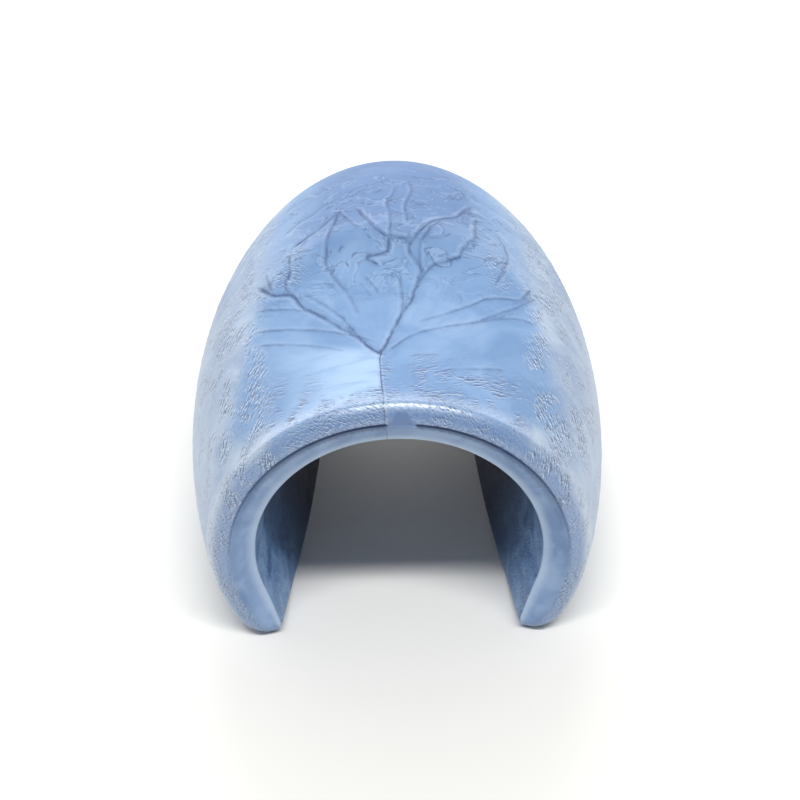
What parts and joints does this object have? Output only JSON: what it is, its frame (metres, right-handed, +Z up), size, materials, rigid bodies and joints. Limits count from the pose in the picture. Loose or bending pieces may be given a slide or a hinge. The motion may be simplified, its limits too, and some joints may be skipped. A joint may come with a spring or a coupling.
{
  "type": "guitar slide",
  "caption": "Open-bottomed guitar slide: a half-egg hood for one finger, with a tapering arched finger hole, a bevelled mouth and a shallow scoop in its top.",
  "frame": {"origin": "centre of the object's box at the floor, so the two feet stand on Z = 0", "axes": "+Z up, +Y along the finger hole from the front mouth towards the smaller far end, +X to the right"},
  "size_m": [0.0308, 0.04, 0.0227],
  "materials": {
    "pearl_blue": "satin-gloss pearlescent powder-blue moulding with darker flow lines"
  },
  "bodies": {
    "root": {"slide_body": "pearl_blue"}
  },
  "joints": []
}
